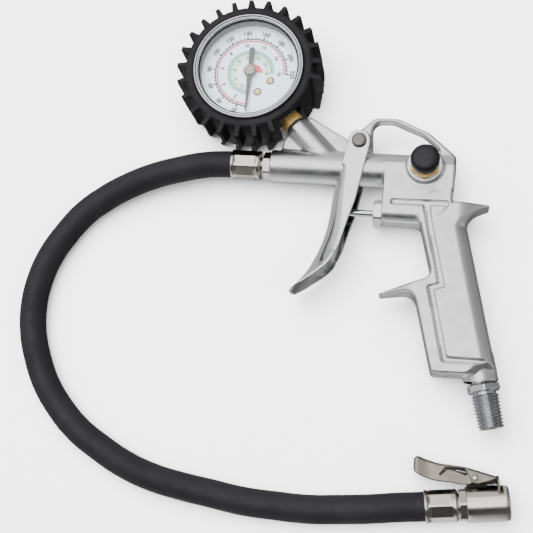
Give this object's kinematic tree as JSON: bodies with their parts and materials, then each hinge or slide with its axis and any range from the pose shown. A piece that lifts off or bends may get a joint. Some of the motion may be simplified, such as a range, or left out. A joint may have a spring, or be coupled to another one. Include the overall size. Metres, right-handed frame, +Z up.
{
  "type": "tyre inflator with gauge",
  "caption": "Pistol-grip tyre inflator with a hanging arch, a rubber-booted dial gauge, a release button and a short hose that ends in a lever clip-on chuck.",
  "frame": {"origin": "on the surface the inflator lies on, below the middle of the gun and gauge (the hose and chuck aren't counted)", "axes": "+X along the barrel from the hose to the back of the hand, +Y from the inlet towards the gauge, +Z up, out of the dial"},
  "size_m": [0.2599, 0.2668, 0.0359],
  "materials": {
    "cast": "satin die casting",
    "bright": "bright plated steel",
    "steel": "dull grey steel",
    "nickel": "warm nickel plate",
    "brass": "machined",
    "boot": "matte moulded",
    "hose": "matte extruded",
    "seal": "smooth",
    "fibre": "fibre washer",
    "cap": "moulded",
    "case": "black enamel",
    "dial": "printed white",
    "pointer": "satin black",
    "lens": "clear"
  },
  "bodies": {
    "gun": {"body": "cast", "trigger_pin": "steel", "pin_clip": "steel", "valve_seat": "brass", "valve_spring": "bright", "gland_nut": "bright", "gland_ring": "seal", "inlet_nipple": "bright", "inlet_washer": "fibre", "inlet_filter": "brass", "release_body": "brass", "release_spring": "bright", "gauge_socket": "brass", "gauge_washer": "fibre", "gauge_case": "case", "case_plug": "seal", "gauge_bezel": "bright", "gauge_lens": "lens", "gauge_dial": "dial", "dial_screws": "nickel", "movement_plates": "brass", "movement_pillars": "brass", "hairspring": "bright", "bourdon_tube": "brass", "tube_tip": "brass", "gauge_boot": "boot", "hose_tail_gun": "nickel", "ferrule_gun": "nickel", "hose": "hose", "ferrule_chuck": "nickel", "hose_tail_chuck": "nickel", "chuck_body": "nickel", "chuck_seal": "seal", "valve_depressor": "brass", "lever_rivet": "bright", "lever_spring": "bright"},
    "trigger": {"trigger": "bright"},
    "valve": {"valve_rod": "bright", "poppet_seal": "seal"},
    "release": {"release_cap": "cap", "release_stem": "bright", "release_seal": "seal"},
    "sector": {"sector_gear": "brass"},
    "pointer": {"gauge_pointer": "pointer", "pointer_arbor": "brass"},
    "link": {"gauge_link": "brass"},
    "lever": {"chuck_lever": "nickel"}
  },
  "joints": [
    {"name": "trigger_pivot", "type": "hinge", "parent": "gun", "child": "trigger", "pos_m": [0.00972, 0.0329, 0.0135], "axis": [0, 0, 1], "range_deg": [0, 10], "stiffness_Nm_per_rad": 0.5, "springref_deg": -17.19},
    {"name": "valve_slide", "type": "slide", "parent": "gun", "child": "valve", "axis": [1, 0, 0], "range_m": [0, 0.0064], "deforming": ["valve_spring"]},
    {"name": "release_button", "type": "slide", "parent": "gun", "child": "release", "axis": [0, 0, -1], "range_m": [0, 0.0019], "stiffness_N_per_m": 300, "springref_m": -0.002, "deforming": ["release_spring"]},
    {"name": "sector_pivot", "type": "hinge", "parent": "gun", "child": "sector", "pos_m": [-0.04154, 0.05935, 0.0135], "axis": [0, 0, 1], "range_deg": [0, 33.75], "stiffness_Nm_per_rad": 0.002, "springref_deg": -5.73},
    {"name": "pointer_spin", "type": "hinge", "parent": "gun", "child": "pointer", "pos_m": [-0.05108, 0.0689, 0.0135], "axis": [0, 0, 1], "range_deg": [-270.5, 0]},
    {"name": "link_pivot", "type": "hinge", "parent": "sector", "child": "link", "pos_m": [-0.038, 0.06289, 0.0135], "axis": [0, 0, 1], "range_deg": [-34, 0]},
    {"name": "lever_pivot", "type": "hinge", "parent": "gun", "child": "lever", "pos_m": [0.07697, -0.1297, 0.0083], "axis": [0, 0, 1], "range_deg": [0, 10], "stiffness_Nm_per_rad": 0.3, "springref_deg": -11.46, "deforming": ["lever_spring"]}
  ],
  "couplings": [
    {"joint": "valve_slide", "follows": "trigger_pivot", "m_per_rad": 0.0362},
    {"joint": "pointer_spin", "follows": "sector_pivot", "ratio": -8},
    {"joint": "link_pivot", "follows": "sector_pivot", "ratio": -1}
  ]
}
